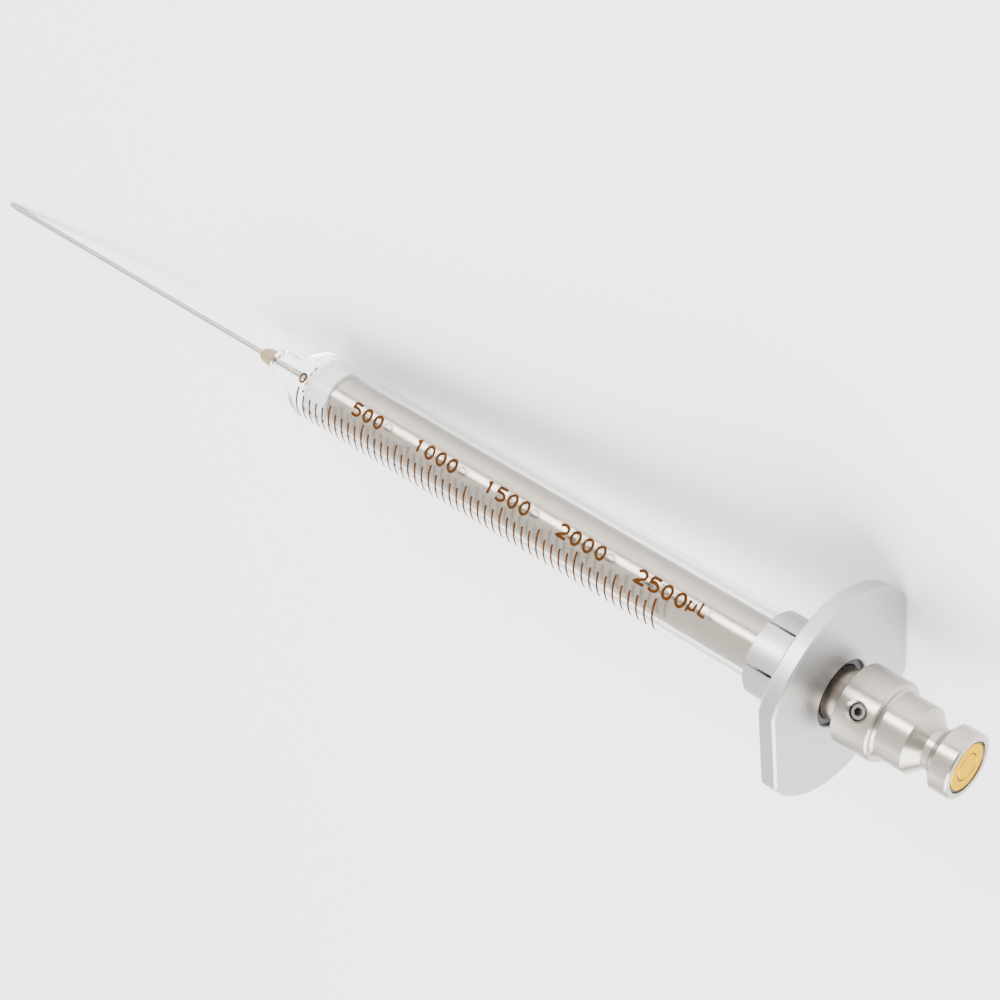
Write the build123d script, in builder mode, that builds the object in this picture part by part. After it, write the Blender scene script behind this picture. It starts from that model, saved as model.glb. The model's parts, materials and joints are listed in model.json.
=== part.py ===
"""Fixed-needle gas-tight syringe, 2500 microlitres, with a slotted-collar flange.

Every station is a distance along the syringe's axis from the zero graduation,
positive towards the button. The syringe lies on a table: one flat of the flange
and the needle's tip touch it, so it can't roll.
+X runs from the needle to the button, +Z is up, the table is z = 0.
"""
from build123d import *
from math import atan2, cos, radians, sin
import os

os.makedirs("parts", exist_ok=True)

# ---- driving dimensions, mm ----
# glass barrel
bore_d = 7.28
barrel_d = 9.2
neck_d = 3.8
neck_length = 5.0
neck_rim_radius = 0.9
shoulder_radius = 3.4
shoulder_blend = 0.7
front_wall = 0.5
floor_gap = 0.1
floor_edge = 0.3
barrel_length = 81.4
glass_edge = 0.25

# needle and its cement
needle_d = 0.64
needle_bore_d = 0.34
needle_reach = 55.9
needle_point_d = 0.44
needle_point_length = 1.3
needle_gap = 0.03
cement_length = 2.8
cement_nose_d = 0.9
cement_back_d = 2.0
cement_crown_d = 2.6
cement_slope = 0.8

# plunger: seal, rod and button
seal_length = 4.2
seal_gap = 0.02
seal_relief = 0.12
seal_land = 1.3
seal_edge = 0.5
stud_d = 3.4
stud_length = 2.9
stud_barb = 0.25
stud_barb_length = 0.8
stud_gap = 0.03
rod_d = 6.35
rod_edge = 0.2
rod_gap = 0.05
button_clearance = 2.05
grip_d = 9.6
grip_length = 4.8
grip_round = 0.4
grip_edge = 0.1
socket_depth = 4.4
socket_gap = 0.02
waist_d = 7.92
waist_length = 3.7
waist_blend = 0.25
neck_groove_d = 5.0
neck_groove_length = 0.8
end_cone_length = 1.15
end_disc_d = 7.7
end_disc_length = 2.3
end_disc_edge = 0.2

# set screw in the button's grip
screw_d = 2.0
screw_sink = 0.55
screw_hex = 0.9
screw_hex_depth = 0.8
screw_edge = 0.2
screw_gap = 0.02
countersink_d = 2.7
screw_place = 2.45
screw_angle = radians(46.0)

# identification chip in the button's end
pocket_d = 6.2
pocket_depth = 1.0
carrier_gap = 0.05
carrier_length = 0.78
contact_d = 5.55
contact_length = 0.16
contact_edge = 0.06
contact_groove_d = 3.2
contact_groove = 0.14

# flange and collar
flange_d = 25.3
flange_thickness = 2.2
flange_flats = 22.7
flange_edge = 0.25
collar_wall = 0.5
collar_length = 7.5
collar_edge = 0.12
glass_gap = 0.05
seat_depth = 0.5
slot_count = 6
slot_width = 0.35
slot_length = 6.3
slot_turn = 2.8
opening_d = 8.2
opening_edge = 0.15

# guide bush behind the flange
bush_recess = 0.5
bush_sleeve_length = 3.0
bush_gap = 0.04
bush_fit = 0.02
bush_edge = 0.15

# ---- stations along the axis, mm ----
glass_end = barrel_length
flange_back = glass_end - seat_depth
flange_front = flange_back + flange_thickness
collar_start = flange_back - collar_length
collar_bore_d = barrel_d + 2 * glass_gap
collar_d = collar_bore_d + 2 * collar_wall
glass_floor = -floor_gap
shoulder_start = -front_wall
neck_tip = shoulder_start - shoulder_radius - neck_length
cement_start = neck_tip - cement_length
needle_tip = cement_start - needle_reach
rod_start = seal_length + stud_gap
button_start = flange_front + button_clearance
grip_end = button_start + grip_length
waist_end = grip_end + waist_length
cone_length = (waist_d - neck_groove_d) / 2
groove_start = waist_end + cone_length
groove_end = groove_start + neck_groove_length
disc_start = groove_end + end_cone_length
button_end = disc_start + end_disc_length

# ---- how the syringe lies ----
# the back edge of the flange's lower flat and the needle's point touch the table
edge_station = flange_back + flange_edge
lie_rise = flange_flats / 2 - needle_point_d / 2
lie_angle = atan2(lie_rise, edge_station - needle_tip)
table_drop = flange_flats / 2 * cos(lie_angle) - edge_station * sin(lie_angle)
far_reach = button_end * cos(lie_angle) + (end_disc_d / 2 - end_disc_edge) * sin(lie_angle)
near_reach = needle_tip * cos(lie_angle) - needle_point_d / 2 * sin(lie_angle)
zero_point = Vector(-(far_reach + near_reach) / 2, 0, table_drop)
along = Vector(cos(lie_angle), 0, sin(lie_angle))

# profile plane: x is the station, y is the radius
profile = Plane(origin=zero_point, x_dir=along, z_dir=(0, -1, 0))
centreline = Axis(zero_point, along)


def section(station):
    """Plane across the axis: x points sideways (+Y), y points up, square to the flats."""
    return Plane(origin=zero_point + along * station, x_dir=(0, 1, 0), z_dir=along)


# ---- needle: a tube with a ground cone point, from its tip to the barrel's floor ----
with BuildPart() as needle:
    with BuildSketch(profile):
        with BuildLine():
            Polyline(
                (needle_tip, needle_bore_d / 2),
                (needle_tip, needle_point_d / 2),
                (needle_tip + needle_point_length, needle_d / 2),
                (glass_floor, needle_d / 2),
                (glass_floor, needle_bore_d / 2),
                close=True,
            )
        make_face()
    revolve(axis=centreline)

# ---- cement: the rounded bead that holds the needle in the neck ----
with BuildPart() as needle_cement:
    with BuildSketch(profile):
        with BuildLine():
            Polyline(
                (cement_start, needle_d / 2),
                (cement_start, cement_nose_d / 2),
                (cement_start + cement_slope, cement_crown_d / 2),
                (neck_tip - cement_slope, cement_crown_d / 2),
                (neck_tip, cement_back_d / 2),
                (neck_tip, needle_d / 2),
                close=True,
            )
        make_face()
    revolve(axis=centreline)

# ---- glass barrel: bored tube, round shoulder and drawn-down neck ----
needle_hole = needle_d / 2 + needle_gap
shoulder_centre_r = barrel_d / 2 - shoulder_radius
shoulder_run = (shoulder_radius**2 - (neck_d / 2 - shoulder_centre_r) ** 2) ** 0.5
shoulder_foot = (shoulder_start - shoulder_run, neck_d / 2)
shoulder_top = (shoulder_start, barrel_d / 2)
with BuildPart() as glass_barrel:
    with BuildSketch(profile) as barrel_profile:
        with BuildLine():
            Polyline((neck_tip, needle_hole), (neck_tip, neck_d / 2), shoulder_foot)
            RadiusArc(shoulder_foot, shoulder_top, shoulder_radius)
            Polyline(
                shoulder_top,
                (glass_end, barrel_d / 2),
                (glass_end, bore_d / 2),
                (glass_floor, bore_d / 2),
                (glass_floor, needle_hole),
                (neck_tip, needle_hole),
            )
        make_face()
        fillet(barrel_profile.vertices().sort_by_distance((neck_tip, neck_d / 2))[0], neck_rim_radius)
        fillet(barrel_profile.vertices().sort_by_distance(shoulder_foot)[0], shoulder_blend)
        chamfer(barrel_profile.vertices().sort_by_distance((glass_floor, bore_d / 2))[0], floor_edge)
        chamfer(barrel_profile.vertices().sort_by_distance((glass_end, barrel_d / 2))[0], glass_edge)
        chamfer(barrel_profile.vertices().sort_by_distance((glass_end, bore_d / 2))[0], glass_edge)
    revolve(axis=centreline)

# ---- flange: disc with two flats and a slotted collar that grips the glass ----
with BuildPart() as flange:
    with BuildSketch(section(flange_back)):
        Circle(flange_d / 2)
        Rectangle(flange_d, flange_flats, mode=Mode.INTERSECT)
    extrude(amount=flange_thickness)
    rims = flange.faces().filter_by(Plane(origin=zero_point, z_dir=along)).edges()
    chamfer(rims, length=flange_edge)
    with BuildSketch(section(collar_start)):
        Circle(collar_d / 2)
    extrude(amount=collar_length + flange_edge)
    with BuildSketch(section(flange_front)):
        Circle(opening_d / 2)
    extrude(amount=-flange_thickness, mode=Mode.SUBTRACT)
    opening_rim = flange.edges().filter_by(GeomType.CIRCLE).group_by(centreline)[-1].sort_by(SortBy.RADIUS)[0]
    chamfer(opening_rim, length=opening_edge)
    with BuildSketch(section(collar_start)):
        Circle(collar_bore_d / 2)
    extrude(amount=collar_length + seat_depth, mode=Mode.SUBTRACT)
    collar_rim = flange.edges().filter_by(GeomType.CIRCLE).group_by(centreline)[0].sort_by(SortBy.RADIUS)[-1]
    chamfer(collar_rim, length=collar_edge)
    with BuildSketch(section(collar_start)):
        with PolarLocations((collar_bore_d + collar_d) / 4, slot_count, start_angle=slot_turn):
            Rectangle(2 * collar_wall, slot_width)
    extrude(amount=slot_length, mode=Mode.SUBTRACT)

# ---- guide bush: stepped ring in the flange's opening, its sleeve inside the glass ----
bush_front = flange_front - bush_recess
bush_back = glass_end - bush_sleeve_length
with BuildPart() as guide_bush:
    with BuildSketch(profile):
        with BuildLine():
            Polyline(
                (bush_back, rod_d / 2 + rod_gap),
                (bush_back, bore_d / 2 - bush_gap),
                (glass_end, bore_d / 2 - bush_gap),
                (glass_end, opening_d / 2 - bush_fit),
                (bush_front, opening_d / 2 - bush_fit),
                (bush_front, rod_d / 2 + rod_gap),
                close=True,
            )
        make_face()
    revolve(axis=centreline)
    mouth = guide_bush.edges().filter_by(GeomType.CIRCLE).group_by(centreline)[-1].sort_by(SortBy.RADIUS)[0]
    chamfer(mouth, length=bush_edge)

# ---- plunger seal: the soft tip, turned down behind its sealing land ----
seal_r = bore_d / 2 - seal_gap
stud_r = stud_d / 2
stud_tip = seal_length - stud_length
barb_start = stud_tip + stud_gap
barb_end = barb_start + stud_barb_length
with BuildPart() as plunger_seal:
    with BuildSketch(profile):
        with BuildLine():
            Polyline(
                (0, 0),
                (0, seal_r - seal_edge),
                (seal_edge, seal_r),
                (seal_land, seal_r),
                (seal_land + seal_relief, seal_r - seal_relief),
                (seal_length, seal_r - seal_relief),
                (seal_length, stud_r + stud_gap),
                (barb_end + stud_gap, stud_r + stud_gap),
                (barb_end + stud_gap, stud_r + stud_barb + stud_gap),
                (barb_start - stud_gap, stud_r + stud_barb + stud_gap),
                (stud_tip, stud_r),
                (stud_tip, 0),
                close=True,
            )
        make_face()
    revolve(axis=centreline)

# ---- plunger rod: ground rod with a barbed stud for the seal ----
rod_end = button_start + socket_depth - socket_gap
with BuildPart() as plunger_rod:
    with BuildSketch(profile):
        with BuildLine():
            Polyline(
                (barb_start, 0),
                (barb_start, stud_r),
                (barb_start + stud_barb, stud_r + stud_barb),
                (barb_end, stud_r + stud_barb),
                (barb_end, stud_r),
                (rod_start, stud_r),
                (rod_start, rod_d / 2 - rod_edge),
                (rod_start + rod_edge, rod_d / 2),
                (rod_end - rod_edge, rod_d / 2),
                (rod_end, rod_d / 2 - rod_edge),
                (rod_end, 0),
                close=True,
            )
        make_face()
    revolve(axis=centreline)

# ---- button: turned from one bar, with a gripping groove between waist and end disc ----
screw_station = button_start + screw_place
toward_screw = Vector(0, 1, 0) * cos(screw_angle) + profile.y_dir * sin(screw_angle)
screw_face = Plane(
    origin=zero_point + along * screw_station + toward_screw * (grip_d / 2),
    x_dir=along,
    z_dir=toward_screw,
)
with BuildPart() as plunger_button:
    with BuildSketch(profile) as button_profile:
        with BuildLine():
            Polyline(
                (button_start, 0),
                (button_start, grip_d / 2),
                (grip_end, grip_d / 2),
                (grip_end, waist_d / 2),
                (waist_end, waist_d / 2),
                (groove_start, neck_groove_d / 2),
                (groove_end, neck_groove_d / 2),
                (disc_start, end_disc_d / 2),
                (button_end, end_disc_d / 2),
                (button_end, 0),
                close=True,
            )
        make_face()
        fillet(button_profile.vertices().sort_by_distance((grip_end, grip_d / 2))[0], grip_round)
        chamfer(button_profile.vertices().sort_by_distance((grip_end, waist_d / 2))[0], waist_blend)
        chamfer(button_profile.vertices().sort_by_distance((button_start, grip_d / 2))[0], grip_edge)
        chamfer(button_profile.vertices().sort_by_distance((button_end, end_disc_d / 2))[0], end_disc_edge)
    revolve(axis=centreline)
    with BuildSketch(section(button_start)):
        Circle(rod_d / 2 + socket_gap)
    extrude(amount=socket_depth, mode=Mode.SUBTRACT)
    with BuildSketch(section(button_end)):
        Circle(pocket_d / 2)
    extrude(amount=-pocket_depth, mode=Mode.SUBTRACT)
    with Locations(screw_face):
        CounterSinkHole(
            radius=screw_d / 2 + screw_gap,
            counter_sink_radius=countersink_d / 2,
            depth=grip_d / 2 - rod_d / 2,
        )

# ---- set screw: cup-ended grub screw that clamps the button on the rod ----
screw_length = grip_d / 2 - screw_sink - rod_d / 2
with BuildPart() as set_screw:
    with BuildSketch(screw_face.offset(-screw_sink)):
        Circle(screw_d / 2)
    extrude(amount=-screw_length)
    chamfer(set_screw.edges().filter_by(GeomType.CIRCLE), length=screw_edge)
    with BuildSketch(screw_face.offset(-screw_sink)):
        RegularPolygon(radius=screw_hex / 2, side_count=6, major_radius=False)
    extrude(amount=-screw_hex_depth, mode=Mode.SUBTRACT)

# ---- identification chip: carrier disc with a contact ring round a contact pad ----
carrier_back = button_end - pocket_depth
contact_back = carrier_back + carrier_length
with BuildPart() as chip_carrier:
    with BuildSketch(section(carrier_back)):
        Circle(pocket_d / 2 - carrier_gap)
    extrude(amount=carrier_length)

with BuildPart() as contact_ring:
    with BuildSketch(section(contact_back)):
        Circle(contact_d / 2)
        Circle((contact_groove_d + contact_groove) / 2, mode=Mode.SUBTRACT)
    extrude(amount=contact_length)
    chamfer(contact_ring.edges().filter_by(GeomType.CIRCLE).group_by(centreline)[-1], length=contact_edge)

with BuildPart() as contact_pad:
    with BuildSketch(section(contact_back)):
        Circle((contact_groove_d - contact_groove) / 2)
    extrude(amount=contact_length)
    chamfer(contact_pad.edges().filter_by(GeomType.CIRCLE).group_by(centreline)[-1], length=contact_edge)

# ---- labels and files ----
needle.part.label = "needle"
needle_cement.part.label = "needle_cement"
glass_barrel.part.label = "glass_barrel"
flange.part.label = "flange"
guide_bush.part.label = "guide_bush"
plunger_seal.part.label = "plunger_seal"
plunger_rod.part.label = "plunger_rod"
plunger_button.part.label = "plunger_button"
set_screw.part.label = "set_screw"
chip_carrier.part.label = "chip_carrier"
contact_ring.part.label = "contact_ring"
contact_pad.part.label = "contact_pad"

export_step(needle.part, "parts/needle.step")
export_step(needle_cement.part, "parts/needle_cement.step")
export_step(glass_barrel.part, "parts/glass_barrel.step")
export_step(flange.part, "parts/flange.step")
export_step(guide_bush.part, "parts/guide_bush.step")
export_step(plunger_seal.part, "parts/plunger_seal.step")
export_step(plunger_rod.part, "parts/plunger_rod.step")
export_step(plunger_button.part, "parts/plunger_button.step")
export_step(set_screw.part, "parts/set_screw.step")
export_step(chip_carrier.part, "parts/chip_carrier.step")
export_step(contact_ring.part, "parts/contact_ring.step")
export_step(contact_pad.part, "parts/contact_pad.step")
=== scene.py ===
"""Gas-tight glass microsyringe, 2500 microlitres, lying on one flat of its flange.

Metres throughout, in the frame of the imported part. Places on the syringe are given by station,
the distance along its axis from the zero mark towards the button, and by the angle round the axis.
"""
import bpy
import json
from math import atan2, cos, hypot, radians, sin
from mathutils import Matrix, Vector


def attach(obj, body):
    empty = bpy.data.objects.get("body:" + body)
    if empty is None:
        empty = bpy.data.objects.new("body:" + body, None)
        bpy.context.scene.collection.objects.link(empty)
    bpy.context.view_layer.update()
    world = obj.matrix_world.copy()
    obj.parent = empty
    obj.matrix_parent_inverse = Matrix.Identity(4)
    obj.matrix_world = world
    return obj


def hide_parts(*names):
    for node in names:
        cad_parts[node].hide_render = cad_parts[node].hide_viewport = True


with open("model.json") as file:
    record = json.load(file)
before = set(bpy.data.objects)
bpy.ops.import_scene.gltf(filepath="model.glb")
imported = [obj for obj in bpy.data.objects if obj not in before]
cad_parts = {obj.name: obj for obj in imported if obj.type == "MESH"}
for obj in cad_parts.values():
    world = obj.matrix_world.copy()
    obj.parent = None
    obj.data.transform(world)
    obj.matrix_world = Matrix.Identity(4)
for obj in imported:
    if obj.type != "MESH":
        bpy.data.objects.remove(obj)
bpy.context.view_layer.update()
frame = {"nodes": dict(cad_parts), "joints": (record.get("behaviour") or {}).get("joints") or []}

# ---------------------------------------------------------------- needle
# Drawn stainless tube with a conical point, 0.64 mm outside. It runs through the neck into the
# barrel's floor, and resin holds it at the end of the neck.
MM = 0.001
seal_length = 4.2 * MM
plunger_turn = [joint for joint in frame["joints"] if joint["name"] == "plunger_turn"][0]
along = Vector(plunger_turn["axis"]).normalized()
zero_mark = Vector(plunger_turn["pos_m"]) - along * seal_length


def new_finish(name):
    """A material with one Principled shader; returns the material, its shader and its node tree."""
    finish = bpy.data.materials.new(name)
    finish.use_nodes = True
    shader = finish.node_tree.nodes["Principled BSDF"]
    return finish, shader, finish.node_tree


def axis_coordinates(tree):
    """Object coordinates turned so that x is the station and y, z are square to the axis."""
    coordinates = tree.nodes.new("ShaderNodeTexCoord")
    turned = tree.nodes.new("ShaderNodeMapping")
    lie_angle = atan2(along.z, along.x)
    turn_back = Matrix.Rotation(lie_angle, 3, "Y")
    turned.inputs["Rotation"].default_value = (0, lie_angle, 0)
    turned.inputs["Location"].default_value = -(turn_back @ zero_mark)
    tree.links.new(coordinates.outputs["Object"], turned.inputs["Vector"])
    return turned.outputs["Vector"]


def grain(tree, vector, scale, detail=3.0):
    """A noise texture on the given coordinates; returns its value."""
    noise = tree.nodes.new("ShaderNodeTexNoise")
    noise.inputs["Scale"].default_value = scale
    noise.inputs["Detail"].default_value = detail
    tree.links.new(vector, noise.inputs["Vector"])
    return noise.outputs["Fac"]


def two_tones(tree, value, dark, light):
    """A colour between two tones."""
    ramp = tree.nodes.new("ShaderNodeValToRGB")
    ramp.color_ramp.elements[0].position = 0.3
    ramp.color_ramp.elements[0].color = (*dark, 1)
    ramp.color_ramp.elements[1].position = 0.7
    ramp.color_ramp.elements[1].color = (*light, 1)
    tree.links.new(value, ramp.inputs["Fac"])
    return ramp.outputs["Color"]


def spread(tree, value, low, high):
    """The noise value carried from low to high."""
    span = tree.nodes.new("ShaderNodeMapRange")
    span.inputs["From Min"].default_value = 0.3
    span.inputs["From Max"].default_value = 0.7
    span.inputs["To Min"].default_value = low
    span.inputs["To Max"].default_value = high
    tree.links.new(value, span.inputs["Value"])
    return span.outputs["Result"]


def dress(node, finish):
    """Gives a node of the part its finish."""
    data = frame["nodes"][node].data
    if data.materials:
        data.materials[0] = finish
    else:
        data.materials.append(finish)


needle_steel, shader, tree = new_finish("needle_steel")
drawn = grain(tree, axis_coordinates(tree), 9000)
tone = two_tones(tree, drawn, (0.3, 0.3, 0.285), (0.38, 0.38, 0.36))
tree.links.new(tone, shader.inputs["Base Color"])
tree.links.new(spread(tree, drawn, 0.42, 0.55), shader.inputs["Roughness"])
shader.inputs["Metallic"].default_value = 1.0
dress("needle", needle_steel)

# ---------------------------------------------------------------- needle cement
# Cured beige resin that bonds the needle to the end of the neck. It stands out as a small
# rounded bead, a little uneven, as a drop that has set.
sideways = Vector((0, 1, 0))
upright = along.cross(sideways)


def at_station(station, radius=0.0, angle=0.0):
    """A point of the syringe: the angle turns from sideways to upright."""
    outward = sideways * cos(angle) + upright * sin(angle)
    return zero_mark + along * station + outward * radius


def relief(tree, shader, value, height):
    """Bump of the given height in metres."""
    bump = tree.nodes.new("ShaderNodeBump")
    bump.inputs["Strength"].default_value = 1.0
    bump.inputs["Distance"].default_value = height
    tree.links.new(value, bump.inputs["Height"])
    tree.links.new(bump.outputs["Normal"], shader.inputs["Normal"])


cement, shader, tree = new_finish("cement")
mottle = grain(tree, axis_coordinates(tree), 1500)
tone = two_tones(tree, mottle, (0.19, 0.135, 0.075), (0.26, 0.185, 0.105))
tree.links.new(tone, shader.inputs["Base Color"])
shader.inputs["Roughness"].default_value = 0.32
relief(tree, shader, mottle, 0.06 * MM)

bead_radius = 1.3 * MM
bead_length = 2.8 * MM
bead_middle = -10.3 * MM
bead_front_share = 0.7
bead_rounding = 0.6 * MM
lump_size = 1.3 * MM
lump_height = 0.18 * MM
bpy.ops.object.select_all(action="DESELECT")
bpy.ops.mesh.primitive_cylinder_add(vertices=56, radius=bead_radius, depth=bead_length)
bead = bpy.context.object
bead.name = "cement_bead"
bpy.ops.object.mode_set(mode="EDIT")
bpy.ops.mesh.select_all(action="DESELECT")
bpy.ops.object.mode_set(mode="OBJECT")
for face in bead.data.polygons:
    face.select = face.normal.z < -0.9
bpy.ops.object.mode_set(mode="EDIT")
front_middle = (0, 0, -bead_length / 2)
bpy.ops.transform.resize(value=(bead_front_share, bead_front_share, 1), center_override=front_middle)
bpy.ops.object.mode_set(mode="OBJECT")
rounding = bead.modifiers.new("rounding", "BEVEL")
rounding.width = bead_rounding
rounding.segments = 9
rounding.limit_method = "ANGLE"
bpy.ops.object.modifier_apply(modifier=rounding.name)
smoothing = bead.modifiers.new("smoothing", "SUBSURF")
smoothing.levels = 1
smoothing.render_levels = 1
bpy.ops.object.modifier_apply(modifier=smoothing.name)
lumps = bpy.data.textures.new("lumps", "CLOUDS")
lumps.noise_scale = lump_size
sag = bead.modifiers.new("sag", "DISPLACE")
sag.texture = lumps
sag.strength = lump_height
sag.mid_level = 0.5
bpy.ops.object.modifier_apply(modifier=sag.name)
bpy.ops.object.shade_smooth()
along_the_axis = along.to_track_quat("Z", "X").to_matrix().to_4x4()
bead.data.transform(Matrix.Translation(at_station(bead_middle)) @ along_the_axis)
bead.data.materials.append(cement)
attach(bead, "barrel")
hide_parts("needle_cement")

# ---------------------------------------------------------------- glass barrel
# Borosilicate tube, 9.2 mm outside and 7.28 mm inside, drawn down to a thick-walled neck.
# Clear and fire-polished, with the faintest cool tint. The flange's collar grips its other end.
glass, shader, tree = new_finish("glass")
shader.inputs["Base Color"].default_value = (0.985, 0.992, 0.99, 1)
shader.inputs["Transmission Weight"].default_value = 1.0
shader.inputs["IOR"].default_value = 1.25
shader.inputs["Roughness"].default_value = 0.0
dress("glass_barrel", glass)

# ---------------------------------------------------------------- printed scale
# Amber enamel fired on the glass: 51 lines, one each 50 microlitres, every fifth one longer,
# and the volume at each 500 microlitres, read from the needle towards the button.
glass_radius = 4.6 * MM
ink_height = 0.012 * MM
line_count = 51
lines_to_a_long_one = 5
microlitres_to_a_line = 50
line_width = 0.3 * MM
line_pitch = 1.2 * MM
line_end = radians(110)
long_line_start = radians(52.3)
short_line_start = radians(62)
number_angle = radians(37)
unit_angle = radians(33)
digit_height = 1.5 * MM
digit_pitch = 1.93 * MM
pen_width = 0.4 * MM
zero_share = 0.76
arc_step_degrees = 18
longest_run = 0.16

scale_ink, shader, tree = new_finish("scale_ink")
patchy = grain(tree, axis_coordinates(tree), 2500)
tone = two_tones(tree, patchy, (0.04, 0.012, 0.0008), (0.068, 0.022, 0.0018))
tree.links.new(tone, shader.inputs["Base Color"])
shader.inputs["Roughness"].default_value = 0.6
shader.inputs["Specular IOR Level"].default_value = 0.05


def wrap_on_glass(piece, station, angle):
    """Lays a flat print round the glass: its x along the syringe, its top towards smaller angles."""
    for vertex in piece.data.vertices:
        x, y, z = vertex.co
        vertex.co = at_station(station + x, glass_radius + ink_height + z, angle - y / glass_radius)
    piece.data.update()


def ink_thickness(piece):
    """Gives the print its thickness, down on to the glass."""
    bpy.ops.object.select_all(action="DESELECT")
    piece.select_set(True)
    bpy.context.view_layer.objects.active = piece
    shell = piece.modifiers.new("thickness", "SOLIDIFY")
    shell.thickness = ink_height
    shell.offset = -1
    bpy.ops.object.modifier_apply(modifier=shell.name)
    piece.data.materials.clear()
    piece.data.materials.append(scale_ink)


def flat_line(name, start):
    """One line of the scale, flat, as long as the arc from its start to the lines' common end."""
    bpy.ops.object.select_all(action="DESELECT")
    bpy.ops.mesh.primitive_grid_add(x_subdivisions=1, y_subdivisions=12, size=1)
    line = bpy.context.object
    line.name = name
    line.scale = (line_width, glass_radius * (line_end - start), 1)
    bpy.ops.object.transform_apply(location=False, rotation=False, scale=True)
    return line


long_line = flat_line("long_line", long_line_start)
short_line = flat_line("short_line", short_line_start)
scale_lines = []
for count in range(line_count):
    is_long = count % lines_to_a_long_one == 0
    pattern = long_line if is_long else short_line
    start = long_line_start if is_long else short_line_start
    line = pattern.copy()
    line.data = pattern.data.copy()
    bpy.context.scene.collection.objects.link(line)
    wrap_on_glass(line, count * line_pitch, (start + line_end) / 2)
    scale_lines.append(line)
bpy.data.objects.remove(long_line)
bpy.data.objects.remove(short_line)
bpy.ops.object.select_all(action="DESELECT")
for line in scale_lines:
    line.select_set(True)
bpy.context.view_layer.objects.active = scale_lines[0]
bpy.ops.object.join()
scale_marks = bpy.context.object
scale_marks.name = "scale_lines"
ink_thickness(scale_marks)
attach(scale_marks, "barrel")


def pen_arc(middle_x, middle_y, across, up, first, last):
    """Points of a pen's arc, in digit heights, between two angles in degrees."""
    steps = max(3, round(abs(last - first) / arc_step_degrees))
    turns = [radians(first + (last - first) * step / steps) for step in range(steps + 1)]
    return [(middle_x + across * cos(turn), middle_y + up * sin(turn)) for turn in turns]


pen_strokes = {
    "0": [pen_arc(0, 0.5, 0.39, 0.5, 0, 342)],
    "1": [[(-0.24, 0.8), (0.04, 1.0), (0.04, 0.0)]],
    "2": [pen_arc(0, 0.66, 0.42, 0.34, 160, -32) + [(-0.5, 0.0), (0.5, 0.0)]],
    "5": [[(0.42, 1.0), (-0.3, 1.0), (-0.4, 0.56)] + pen_arc(-0.02, 0.32, 0.46, 0.32, 112, -140)],
    "u": [
        [(-0.3, 0.7), (-0.36, -0.3)],
        pen_arc(0, 0.24, 0.28, 0.24, 180, 350) + [(0.3, 0.7), (0.3, 0.0)],
    ],
    "L": [[(-0.3, 1.0), (-0.3, 0.0), (0.36, 0.0)]],
}


def short_runs(stroke):
    """The stroke with points added along its straight runs, so that it can bend round the glass."""
    points = [stroke[0]]
    for (x0, y0), (x1, y1) in zip(stroke, stroke[1:]):
        pieces = max(1, round(hypot(x1 - x0, y1 - y0) / longest_run))
        for step in range(1, pieces + 1):
            points.append((x0 + (x1 - x0) * step / pieces, y0 + (y1 - y0) * step / pieces))
    return points


def pen_writing(name, letters, pitch, height, pen):
    """Letters drawn flat with a pen of one width, centred on the origin, as a mesh."""
    drawing = bpy.data.curves.new(name, "CURVE")
    drawing.dimensions = "3D"
    drawing.bevel_depth = pen / 2
    drawing.bevel_resolution = 0
    drawing.use_fill_caps = True
    for place, letter in enumerate(letters):
        middle_x = (place - (len(letters) - 1) / 2) * pitch
        for stroke in map(short_runs, pen_strokes[letter]):
            line = drawing.splines.new("POLY")
            line.points.add(len(stroke) - 1)
            for point, (x, y) in zip(line.points, stroke):
                point.co = (middle_x + x * height, (y - 0.5) * height, 0, 1)
            line.use_cyclic_u = letter == "0"
    writing = bpy.data.objects.new(name, drawing)
    bpy.context.scene.collection.objects.link(writing)
    bpy.ops.object.select_all(action="DESELECT")
    writing.select_set(True)
    bpy.context.view_layer.objects.active = writing
    bpy.ops.object.convert(target="MESH")
    writing = bpy.context.object
    writing.scale = (1, 1, ink_height / pen)
    bpy.ops.object.transform_apply(location=False, rotation=False, scale=True)
    bpy.ops.object.shade_flat()
    writing.data.materials.append(scale_ink)
    return writing


for microlitres in (0, 500, 1000, 1500, 2000, 2500):
    size = zero_share if microlitres == 0 else 1
    station = microlitres / microlitres_to_a_line * line_pitch
    number = pen_writing(
        "scale_number_%d" % microlitres,
        str(microlitres),
        digit_pitch,
        size * digit_height,
        size * pen_width,
    )
    wrap_on_glass(number, station, number_angle)
    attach(number, "barrel")

unit_gap = 5.28 * MM
unit_pitch = 1.5 * MM
unit_height = 1.4 * MM
unit_pen_share = 0.8
unit = pen_writing("scale_unit", "uL", unit_pitch, unit_height, unit_pen_share * pen_width)
wrap_on_glass(unit, station + unit_gap, unit_angle)
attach(unit, "barrel")

# ---------------------------------------------------------------- plunger seal
# White fluoropolymer tip of the plunger, waxy and slightly translucent. It is snapped on the
# rod's barbed stud, and only its front land meets the bore.


def lathe_coordinates(tree):
    """(station, distance from the axis, 0): what a tool leaves on a turned piece."""
    across = tree.nodes.new("ShaderNodeSeparateXYZ")
    tree.links.new(axis_coordinates(tree), across.inputs[0])
    off_axis = tree.nodes.new("ShaderNodeCombineXYZ")
    tree.links.new(across.outputs["Y"], off_axis.inputs["Y"])
    tree.links.new(across.outputs["Z"], off_axis.inputs["Z"])
    distance = tree.nodes.new("ShaderNodeVectorMath")
    distance.operation = "LENGTH"
    tree.links.new(off_axis.outputs[0], distance.inputs[0])
    lathe = tree.nodes.new("ShaderNodeCombineXYZ")
    tree.links.new(across.outputs["X"], lathe.inputs["X"])
    tree.links.new(distance.outputs["Value"], lathe.inputs["Y"])
    return lathe.outputs[0]


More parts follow.
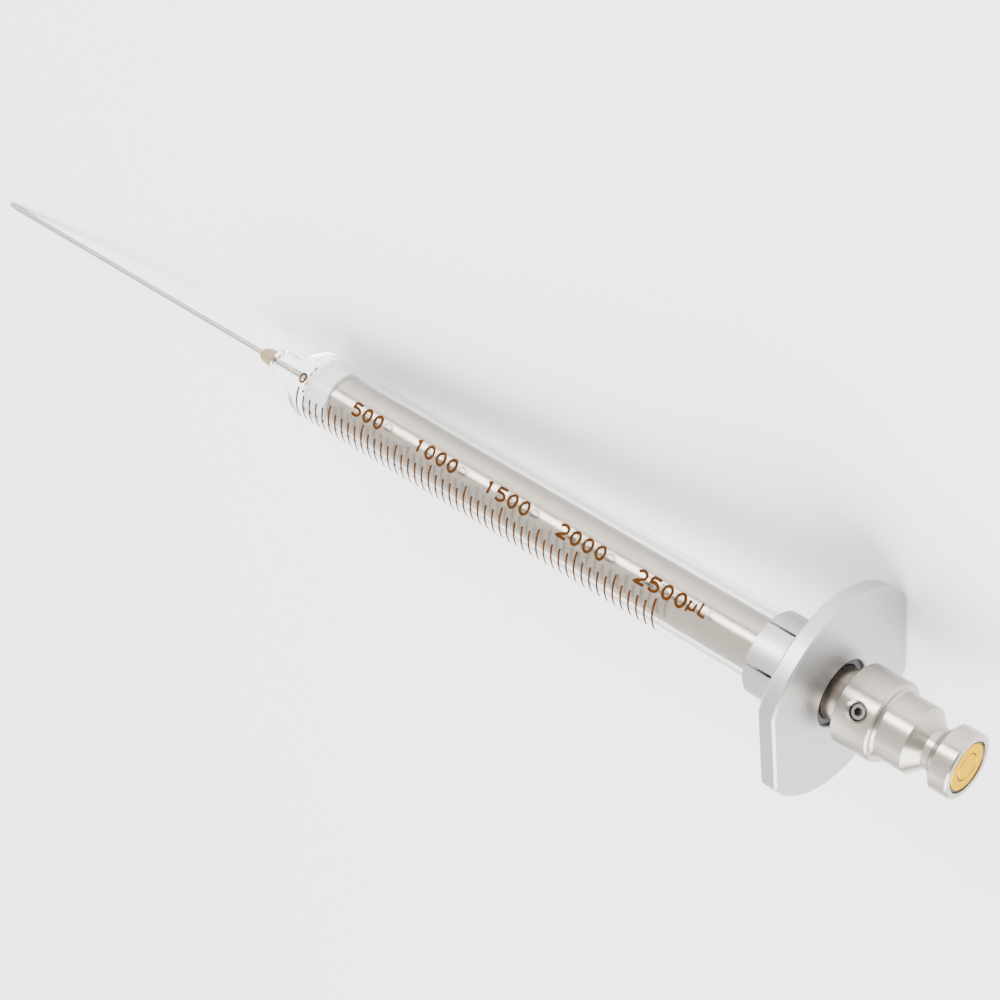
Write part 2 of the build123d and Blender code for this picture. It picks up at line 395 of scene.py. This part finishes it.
white_fluoropolymer, shader, tree = new_finish("white_fluoropolymer")
waxy = grain(tree, lathe_coordinates(tree), 4000)
tone = two_tones(tree, waxy, (0.82, 0.83, 0.84), (0.9, 0.91, 0.92))
tree.links.new(tone, shader.inputs["Base Color"])
shader.inputs["Roughness"].default_value = 0.35
shader.inputs["Subsurface Weight"].default_value = 0.2
shader.inputs["Subsurface Scale"].default_value = 0.6 * MM
dress("plunger_seal", white_fluoropolymer)

# ---------------------------------------------------------------- plunger rod
# Ground stainless rod, 6.35 mm thick, with the fine rings that centreless grinding leaves.
# The set screw holds its far end in the button's socket.


def turned_lay(tree, shader, anisotropy):
    """Makes reflections run across the tool's rings: the tangent goes round the axis at every point."""
    coordinates = tree.nodes.new("ShaderNodeTexCoord")
    from_axis = tree.nodes.new("ShaderNodeVectorMath")
    from_axis.operation = "SUBTRACT"
    from_axis.inputs[1].default_value = zero_mark
    tree.links.new(coordinates.outputs["Object"], from_axis.inputs[0])
    around = tree.nodes.new("ShaderNodeVectorMath")
    around.operation = "CROSS_PRODUCT"
    around.inputs[1].default_value = along
    tree.links.new(from_axis.outputs["Vector"], around.inputs[0])
    in_the_world = tree.nodes.new("ShaderNodeVectorTransform")
    in_the_world.vector_type = "VECTOR"
    in_the_world.convert_from = "OBJECT"
    in_the_world.convert_to = "WORLD"
    tree.links.new(around.outputs["Vector"], in_the_world.inputs["Vector"])
    tree.links.new(in_the_world.outputs["Vector"], shader.inputs["Tangent"])
    shader.inputs["Anisotropic"].default_value = anisotropy
    shader.inputs["Anisotropic Rotation"].default_value = 0.25


polished_steel, shader, tree = new_finish("polished_steel")
ground = grain(tree, lathe_coordinates(tree), 1400)
tone = two_tones(tree, ground, (0.385, 0.332, 0.282), (0.397, 0.343, 0.292))
tree.links.new(tone, shader.inputs["Base Color"])
tree.links.new(spread(tree, ground, 0.262, 0.27), shader.inputs["Roughness"])
shader.inputs["Metallic"].default_value = 1.0
turned_lay(tree, shader, 0.5)
dress("plunger_rod", polished_steel)

# ---------------------------------------------------------------- flange
# Satin anodised aluminium, one piece: a disc with two flats and a collar cut by six slots.
# The collar grips the glass, whose end stands in a seat behind the disc.
satin_aluminium, shader, tree = new_finish("satin_aluminium")
satin = grain(tree, axis_coordinates(tree), 5000, 4)
tone = two_tones(tree, satin, (0.38, 0.385, 0.392), (0.45, 0.455, 0.462))
tree.links.new(tone, shader.inputs["Base Color"])
tree.links.new(spread(tree, satin, 0.34, 0.46), shader.inputs["Roughness"])
shader.inputs["Metallic"].default_value = 1.0
relief(tree, shader, satin, 0.004 * MM)
dress("flange", satin_aluminium)

# ---------------------------------------------------------------- guide bush
# Black moulded ring in the flange's opening, with a sleeve inside the glass, which guides the
# rod. The chip's carrier is of the same plastic.
black_plastic, shader, tree = new_finish("black_plastic")
moulded = grain(tree, axis_coordinates(tree), 6000)
tone = two_tones(tree, moulded, (0.012, 0.012, 0.013), (0.03, 0.03, 0.032))
tree.links.new(tone, shader.inputs["Base Color"])
tree.links.new(spread(tree, moulded, 0.4, 0.55), shader.inputs["Roughness"])
dress("guide_bush", black_plastic)
dress("chip_carrier", black_plastic)

# ---------------------------------------------------------------- button
# Stainless button turned from one bar: plain grip, waist, gripping groove and end disc.
# It fits over the rod's end, and the set screw clamps it there.
turned_steel, shader, tree = new_finish("turned_steel")


def drawn_out(tree, vector, squeeze):
    """The coordinates squeezed along the axis, so that a grain on them is drawn out into streaks."""
    stretch = tree.nodes.new("ShaderNodeVectorMath")
    stretch.operation = "MULTIPLY"
    stretch.inputs[1].default_value = (squeeze, 1, 1)
    tree.links.new(vector, stretch.inputs[0])
    return stretch.outputs["Vector"]


streaks = grain(tree, drawn_out(tree, axis_coordinates(tree), 0.07), 7000, 2)
tone = two_tones(tree, streaks, (0.37, 0.345, 0.3), (0.43, 0.4, 0.348))
tree.links.new(tone, shader.inputs["Base Color"])
tree.links.new(spread(tree, streaks, 0.27, 0.36), shader.inputs["Roughness"])
shader.inputs["Metallic"].default_value = 1.0
relief(tree, shader, streaks, 0.0013 * MM)
turned_lay(tree, shader, 0.8)
dress("plunger_button", turned_steel)

# ---------------------------------------------------------------- set screw
# Hardened grub screw with a hexagon socket, darker than the button round it. It stands in the
# grip's side and presses on the rod.
# Below the screw's face the colour darkens with depth: painted shade in the socket, over the screw's
# own tone.
screw_face_radius = 4.25 * MM
dark_below = 0.3 * MM
light_above = 0.08 * MM
screw_steel, shader, tree = new_finish("screw_steel")
depth = tree.nodes.new("ShaderNodeSeparateXYZ")
tree.links.new(lathe_coordinates(tree), depth.inputs[0])
painted_socket_shade = tree.nodes.new("ShaderNodeMapRange")
painted_socket_shade.inputs["From Min"].default_value = screw_face_radius - dark_below
painted_socket_shade.inputs["From Max"].default_value = screw_face_radius - light_above
tree.links.new(depth.outputs["Y"], painted_socket_shade.inputs["Value"])
# Dark tone: painted shade deep in the socket. Light tone: the screw's own colour at its face.
tone = two_tones(tree, painted_socket_shade.outputs["Result"], (0.12, 0.105, 0.095), (0.3, 0.285, 0.265))
tree.links.new(tone, shader.inputs["Base Color"])
machined = grain(tree, axis_coordinates(tree), 7000)
tree.links.new(spread(tree, machined, 0.18, 0.3), shader.inputs["Roughness"])
shader.inputs["Metallic"].default_value = 1.0
dress("set_screw", screw_steel)

# ---------------------------------------------------------------- chip contacts
# Gold-plated ring and pad of the identification chip. They lie on a black carrier disc at the
# bottom of the button's end pocket.
gold_plate, shader, tree = new_finish("gold_plate")
plated = grain(tree, axis_coordinates(tree), 4000)
tone = two_tones(tree, plated, (0.5, 0.29, 0.004), (0.64, 0.38, 0.008))
tree.links.new(tone, shader.inputs["Base Color"])
tree.links.new(spread(tree, plated, 0.3, 0.42), shader.inputs["Roughness"])
shader.inputs["Metallic"].default_value = 1.0
relief(tree, shader, plated, 0.004 * MM)
shader.inputs["Specular Tint"].default_value = (1.0, 0.75, 0.2, 1)
dress("contact_ring", gold_plate)
dress("contact_pad", gold_plate)

# ---------------------------------------------------------------- table
# A plain pale table top at z = 0. The syringe lies on it on one flat of its flange and on the
# needle's tip, so that it can't roll.
table_white, shader, tree = new_finish("table_white")
shader.inputs["Base Color"].default_value = (0.86, 0.86, 0.86, 1)
shader.inputs["Roughness"].default_value = 0.6
bpy.ops.object.select_all(action="DESELECT")
bpy.ops.mesh.primitive_plane_add(size=6)
table = bpy.context.object
table.name = "table"
table.data.materials.append(table_white)

# ---------------------------------------------------------------- light
# Even studio light all round, stronger from the needle's end. A wide soft panel stands overhead
# on the far side of the syringe, and a narrow one low on the camera's side.
studio = bpy.data.worlds.new("studio")
studio.use_nodes = True
studio.node_tree.nodes["Background"].inputs["Color"].default_value = (1.0, 0.985, 0.97, 1)
direction = studio.node_tree.nodes.new("ShaderNodeTexCoord")
split = studio.node_tree.nodes.new("ShaderNodeSeparateXYZ")
studio.node_tree.links.new(direction.outputs["Generated"], split.inputs[0])
fall = studio.node_tree.nodes.new("ShaderNodeMapRange")
fall.inputs["From Min"].default_value = -1
fall.inputs["From Max"].default_value = 1
fall.inputs["To Min"].default_value = 2.6
fall.inputs["To Max"].default_value = 0.8
studio.node_tree.links.new(split.outputs["X"], fall.inputs["Value"])
background = studio.node_tree.nodes["Background"]
studio.node_tree.links.new(fall.outputs["Result"], background.inputs["Strength"])
bpy.context.scene.world = studio


def panel(name, place, target, width, height, power):
    """A soft rectangular lamp at a place, facing a target."""
    lamp = bpy.data.lights.new(name, "AREA")
    lamp.shape = "RECTANGLE"
    lamp.size = width
    lamp.size_y = height
    lamp.energy = power
    holder = bpy.data.objects.new(name, lamp)
    bpy.context.scene.collection.objects.link(holder)
    holder.location = place
    holder.rotation_euler = (target - place).to_track_quat("-Z", "Y").to_euler()
    return holder


middle = at_station(0.045)
key_place = middle + Vector((0.45, -0.5, 0.8))
panel("key_panel", key_place, middle, 1.2, 1.2, 50)
side_place = middle + Vector((-0.26, 0.58, 0.26))
panel("side_panel", side_place, middle, 0.62, 0.22, 8)

# ---------------------------------------------------------------- camera
# It stands off the syringe's side, above the table, and looks along the barrel from the button.
# It is turned about its line of sight, so that the syringe runs down the picture to the right.
camera_data = bpy.data.cameras.new("camera")
camera_data.sensor_width = 36
camera_data.lens = 81.65
camera_data.clip_start = 0.01
camera = bpy.data.objects.new("camera", camera_data)
bpy.context.scene.collection.objects.link(camera)


def on_syringe_axes(run, side, rise):
    """A direction or distance given along the syringe, sideways and upright."""
    return along * run + sideways * side + upright * rise


camera_place = zero_mark + on_syringe_axes(0.18495, 0.18381, 0.12866)
looking = on_syringe_axes(-0.5628, -0.6789, -0.4716).normalized()
picture_down = on_syringe_axes(0.4207, -0.7264, 0.5435)
picture_right = picture_down.cross(looking).normalized()
picture_up = picture_right.cross(looking).normalized()
turn = Matrix((picture_right, picture_up, -looking)).transposed()
camera.matrix_world = Matrix.Translation(camera_place) @ turn.to_4x4()
bpy.context.scene.camera = camera
